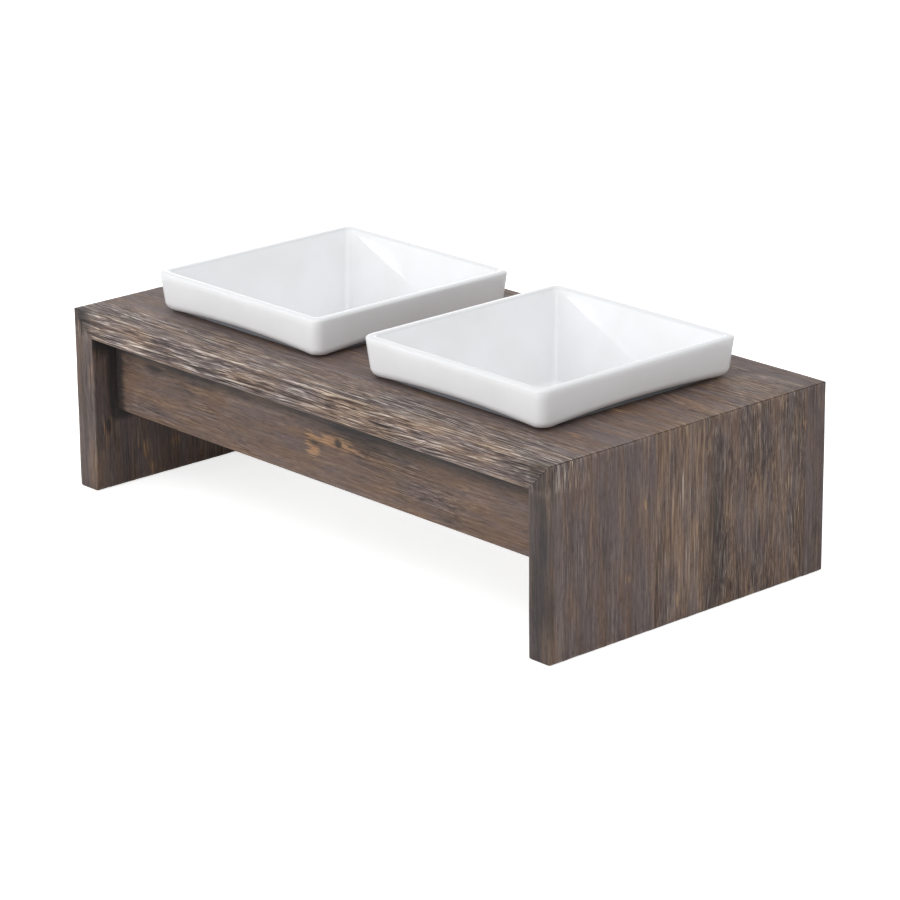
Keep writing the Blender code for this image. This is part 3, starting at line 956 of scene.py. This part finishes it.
def frame_loop(bm, outer, inset, corner, height, arch):
    """One frame: a grid of one face, its corners rounded, its sides subdivided. Returns its edges."""
    half = Vector((outer.x - inset, outer.y - inset, 1))
    verts = bmesh.ops.create_grid(bm, x_segments=1, y_segments=1, size=1)["verts"]
    bmesh.ops.scale(bm, vec=half, verts=verts)
    bmesh.ops.bevel(
        bm, geom=verts, offset=corner, segments=CORNER_PARTS, profile=0.5, affect="VERTICES", material=-1
    )
    bm.faces.ensure_lookup_table()
    face = bm.faces[0]
    sides = sorted(face.edges, key=lambda edge: edge.calc_length())[-4:]
    bmesh.ops.subdivide_edges(bm, edges=sides, cuts=SIDE_PARTS - 1)
    for vertex in face.verts:
        vertex.co.z = height + arch * arch_share(vertex.co, half, corner)
    edges = list(face.edges)
    bm.faces.remove(face)
    return edges


print("frames in a bowl:", len(bowl_frames()), "points in a frame:", 4 * (SIDE_PARTS + CORNER_PARTS))

# %% Loft a bowl
RIPPLE, RIPPLE_SIZE = 0.10 * MM, 32 * MM
WARP, WARP_SIZE = 0.30 * MM, 110 * MM
BULGE = 0.2 * MM


def on_seat(point, outer):
    """Whether a point is on the narrow step under the skirt, which is as far in as the seat's inset."""
    beyond = min(outer.x - abs(point.x), outer.y - abs(point.y)) - SEAT_INSET
    slack = 0.1 * MM
    return -slack < beyond < 0.3 * SEAT_CORNER and 0 < point.z < SKIRT_LIFT + SKIRT_ARCH + slack


def bowl_mesh(name, place, outer):
    """Planks the frames into one closed skin, ripples it and puts it in place."""
    bm = bmesh.new()
    loops = [frame_loop(bm, outer, *frame) for frame in bowl_frames()]
    for near, far in zip(loops, loops[1:]):
        bmesh.ops.bridge_loops(bm, edges=near + far)
    for loop in (loops[0], loops[-1]):
        bmesh.ops.edgeloop_fill(bm, edges=loop)
    bmesh.ops.recalc_face_normals(bm, faces=bm.faces)
    bm.normal_update()
    seat = bm.verts.layers.float.new("seat")
    for vertex in bm.verts:
        vertex[seat] = 1.0 if on_seat(vertex.co, outer) else 0.0
        spot = vertex.co + place
        ripple = RIPPLE * noise.noise(spot / RIPPLE_SIZE) + WARP * noise.noise(spot / WARP_SIZE)
        depth = (RIM_RISE - vertex.co.z) / INSIDE_DEPTH
        inner_wall = max(0.0, 1 - 2 * abs(depth - 0.5)) if vertex.normal.z > 0.2 else 0.0
        vertex.co += vertex.normal * (0.5 * ripple - 0.5 * (RIPPLE + WARP) + BULGE * inner_wall)
    bmesh.ops.translate(bm, vec=place, verts=bm.verts)
    mesh = mesh_from(bm, name)
    mesh.shade_smooth()
    mesh.set_sharp_from_angle(angle=SMOOTH_ANGLE)
    return mesh


print(f"the glaze ripples by {RIPPLE / MM:.1f} mm and the walls warp by {WARP / MM:.1f} mm")

# %% [markdown]
# ## Glazed porcelain
# Porcelain is a white, slightly translucent body under a clear glaze that fires to a glass. Almost all that
# the eye sees of it is the reflection in that glaze, so the body is one nearly even white and the work is
# in the surface: a gloss of glass, a barely uneven skin, and a rim painted greyer as shade, which draws the
# bowl's outline against a white room. Two places are matt: the foot ring, which carries no glaze, and the
# seat, which is painted dark grey as the shade under the skirt. The height or the `seat` attribute tells the
# material where they are.

# %% Make both bowls
GLAZE_WHITE, GLAZE_THIN, RIM_SHADE_GREY = "#F1F2F4", "#EDEEEF", "#E3E4E6"
BISCUIT, SEAT_SHADE_GREY = "#E4DFD6", "#74777D"
GLOSSY, MATT, GLAZE_INDEX = 0.05, 0.7, 1.52
CLOUD_SIZE, ORANGE_PEEL, PEEL_DEPTH = 40 * MM, 5 * MM, 0.05 * MM


def glazed_porcelain():
    """White glaze, with painted shade greying the rim and the seat, and matt on the foot ring and the seat.
    """
    material, tree, shader = new_material("glazed_porcelain")
    place = add_node(tree, "TexCoord").outputs["Object"]
    cloud = add_node(tree, "TexNoise", place, Scale=1 / CLOUD_SIZE, Detail=2.0)
    glaze = add_node(tree, "ValToRGB", cloud, stops=[(0.35, GLAZE_THIN), (0.6, GLAZE_WHITE)])

    # The rim's top is painted greyer, as shade, which draws the bowl's outline against the white room.
    height = add_node(tree, "SeparateXYZ", place).outputs["Z"]
    rim = WOOD_TOP + RIM_RISE
    on_rim = add_node(tree, "MapRange", height, rim - RIM_ROUND, rim - 0.5 * RIM_ROUND, 0.0, 1.0)
    glaze = add_node(tree, "Mix", on_rim, glaze, linear(RIM_SHADE_GREY), data_type="RGBA")

    # The foot ring is wiped clean of glaze, or it would stick to the kiln shelf. It is matt, creamy biscuit.
    wiped = rim - INSIDE_DEPTH - FLOOR_THICKNESS - 0.5 * FOOT_HEIGHT
    unglazed = add_node(tree, "MapRange", height, wiped - 0.2 * MM, wiped + 0.2 * MM, 1.0, 0.0)
    colour = add_node(tree, "Mix", unglazed, glaze, linear(BISCUIT), data_type="RGBA")

    # The narrow seat under the skirt is painted dark grey, as the shade that the skirt throws on it, and is
    # matt.
    seat = add_node(tree, "Attribute", attribute_name="seat").outputs["Fac"]
    colour = add_node(tree, "Mix", seat, colour, linear(SEAT_SHADE_GREY), data_type="RGBA")
    unglazed = add_node(tree, "Math", unglazed, seat, operation="MAXIMUM")
    gloss = add_node(tree, "MapRange", unglazed, 0.0, 1.0, GLOSSY, MATT)

    skin = add_node(tree, "TexNoise", place, Scale=1 / ORANGE_PEEL, Detail=1.0)
    bump = add_node(tree, "Bump", Height=skin, Strength=0.15, Distance=PEEL_DEPTH)
    fill(tree, shader, Base_Color=colour, Roughness=gloss, Normal=bump, IOR=GLAZE_INDEX)
    return material


porcelain = glazed_porcelain()
for side in ("left", "right"):
    low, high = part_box(f"bowl_{side}")
    outer = Vector(((high.x - low.x) / 2, (high.y - low.y) / 2))
    place = Vector(((low.x + high.x) / 2, (low.y + high.y) / 2, WOOD_TOP))
    name = f"glazed_bowl_{side}"
    bowl = add_object(name, bowl_mesh(name, place, outer))
    bowl.data.materials.append(porcelain)
    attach(bowl, f"{side}_bowl")
    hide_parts(f"bowl_{side}")
    print(bowl.name, "triangles:", 2 * len(bowl.data.polygons))

# %% [markdown]
# ## The dowels
# The dowels are out of sight in the mitres and the rails' ends. They keep their CAD shape and get plain
# machined beech: pale pinkish brown with short dark flecks, which are the cut ends of the rays.


# %% Finish the dowels
FLECK, PLANED = 1.5 * MM, 0.6


def machined_beech():
    """Pale beech with flecks."""
    material, tree, shader = new_material("machined_beech")
    place = add_node(tree, "TexCoord").outputs["Object"]
    fleck = add_node(tree, "TexNoise", place, Scale=1 / FLECK, Detail=2.0)
    colour = add_node(tree, "ValToRGB", fleck, stops=[(0.3, "#A87F5C"), (0.5, "#C7A17C"), (0.7, "#D3B08D")])
    fill(tree, shader, Base_Color=colour, Roughness=PLANED)
    return material


beech = machined_beech()
dowels = [nodes[name] for name in nodes if "dowel" in name]
for dowel in dowels:
    dowel.data.materials.clear()
    dowel.data.materials.append(beech)
print("dowels:", len(dowels))

# %% [markdown]
# ## The floor
# The floor is plain and pale. It stays white to the camera and still shows the soft shadow under the bench:
# part of what the camera sees of it is its own light, and the rest is the light that falls on it.

# %% Lay the floor
FLOOR_SIZE, FLOOR_GAP = 8.0, 0.3 * MM
FLOOR_GLOW, PAPER_WHITE, PAPER_ROUGH = 0.72, "#E8E8E8", 0.9
WHITE = (1.0, 1.0, 1.0, 1.0)


def studio_floor():
    """A large sheet of white paper, a hair below the feet."""
    bm = bmesh.new()
    bmesh.ops.create_grid(bm, x_segments=1, y_segments=1, size=FLOOR_SIZE / 2)
    bmesh.ops.translate(bm, vec=(0, 0, -FLOOR_GAP), verts=bm.verts)
    material, tree, shader = new_material("white_paper")
    seen = add_node(tree, "LightPath").outputs["Is Camera Ray"]
    glow = add_node(tree, "Math", seen, FLOOR_GLOW, operation="MULTIPLY")
    fill(tree, shader, Base_Color=linear(PAPER_WHITE), Roughness=PAPER_ROUGH)
    fill(tree, shader, Emission_Color=WHITE, Emission_Strength=glow)
    floor = add_object("floor", mesh_from(bm, "floor"))
    floor.data.materials.append(material)
    return floor


floor = studio_floor()
print("floor", FLOOR_SIZE, "m wide")

# %% [markdown]
# ## The light
# The light is that of a product studio. The room is white to the eye and in reflections. As a light it is
# dimmer, and it fades from the ceiling to the floor. A large soft box stands in front and a square one hangs
# overhead. Two narrow strips, one for each bowl, stand low on the left, where the bowls' rear walls mirror
# them as slanting bands. A box above the camera draws the upright glint in the bowls' rear corners, and a
# low rim light on the far left skims over the brushed wood.

# %% Light the studio
ROOM_BELOW, ROOM_ABOVE = 0.0, 1.0
LAMPS = {
    # name: (position, width, height, watts, and for a strip its roll in degrees)
    "front_box": ((-0.3, -2.2, 0.6), 1.4, 0.8, 14.3),
    "top_box": ((0.0, 0.0, 2.2), 1.6, 1.6, 5.7),
    "right_strip": ((-1.214, -1.383, 0.563), 0.50, 0.09, 0.7, -26),
    "left_strip": ((-1.417, -1.204, 0.503), 0.50, 0.09, 0.7, -26),
    "corner_box": ((1.55, -1.70, 2.10), 0.7, 0.75, 5.0),
    "rim_light": ((-1.5, 1.45, 0.60), 1.4, 0.3, 1.6),
}


def soft_box(name, position, width, height, watts, roll=0):
    """A rectangular lamp that faces the middle of the bench."""
    light = bpy.data.lights.new(name, "AREA")
    light.shape, light.size, light.size_y, light.energy = "RECTANGLE", width, height, watts
    lamp = add_object(name, light)
    lamp.location = position
    aim = Vector((0, 0, WOOD_TOP)) - lamp.location
    lamp.rotation_mode = "QUATERNION"
    lamp.rotation_quaternion = aim.to_track_quat("-Z", "Y") @ Quaternion((0, 0, 1), math.radians(roll))


def white_room():
    """A world that is white to look at, and as a light is bright overhead and dark underfoot."""
    world = bpy.data.worlds.new("studio")
    world.use_nodes = True
    tree = world.node_tree
    path = add_node(tree, "LightPath").outputs
    seen = add_node(tree, "Math", path["Is Camera Ray"], path["Is Glossy Ray"], operation="MAXIMUM")
    seen = add_node(tree, "Math", seen, path["Is Transmission Ray"], operation="MAXIMUM")
    upward = add_node(tree, "SeparateXYZ", add_node(tree, "TexCoord").outputs["Generated"]).outputs["Z"]
    room = add_node(tree, "MapRange", upward, -1.0, 1.0, ROOM_BELOW, ROOM_ABOVE)
    strength = add_node(tree, "MapRange", seen, 0.0, 1.0, room, 1.0)
    fill(tree, tree.nodes["Background"], Color=WHITE, Strength=strength)
    bpy.context.scene.world = world


white_room()
for name, settings in LAMPS.items():
    soft_box(name, *settings)
bpy.context.scene.view_settings.view_transform = "Standard"
print("lamps:", sorted(LAMPS))
